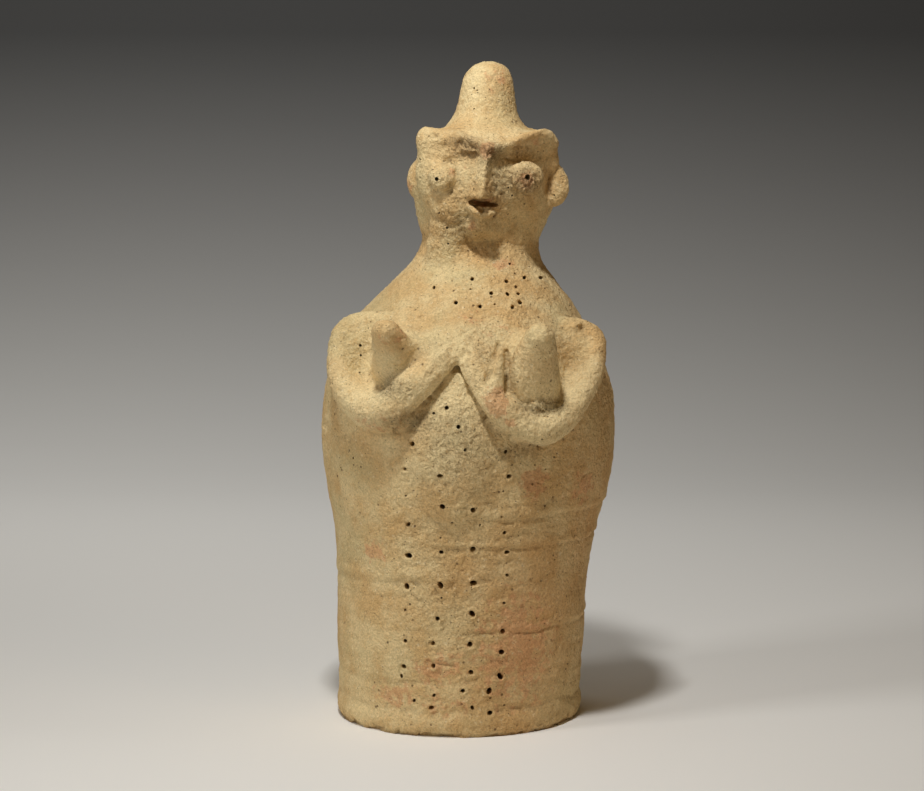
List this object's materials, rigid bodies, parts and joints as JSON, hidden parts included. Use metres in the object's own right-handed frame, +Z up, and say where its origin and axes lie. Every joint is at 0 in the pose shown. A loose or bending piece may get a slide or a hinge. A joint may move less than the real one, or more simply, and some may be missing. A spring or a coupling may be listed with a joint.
{
  "type": "terracotta fertility figurine",
  "caption": "Hollow wheel-thrown clay figure with a topknot, pellet eyes, arms curved under the breasts and rows of pricked holes; stands on its open foot.",
  "frame": {"origin": "middle of the figure's outline seen from above, at the level of the foot it stands on", "axes": "+Z up along the body, -Y the way the figure faces, +X to the right of a viewer who faces it"},
  "size_m": [0.1124, 0.1138, 0.25],
  "materials": {
    "fired_clay": "unglazed pale buff earthenware, worn and gritty, with pinkish patches where the slip has gone"
  },
  "bodies": {
    "root": {"terracotta_figurine": "fired_clay"}
  },
  "joints": []
}
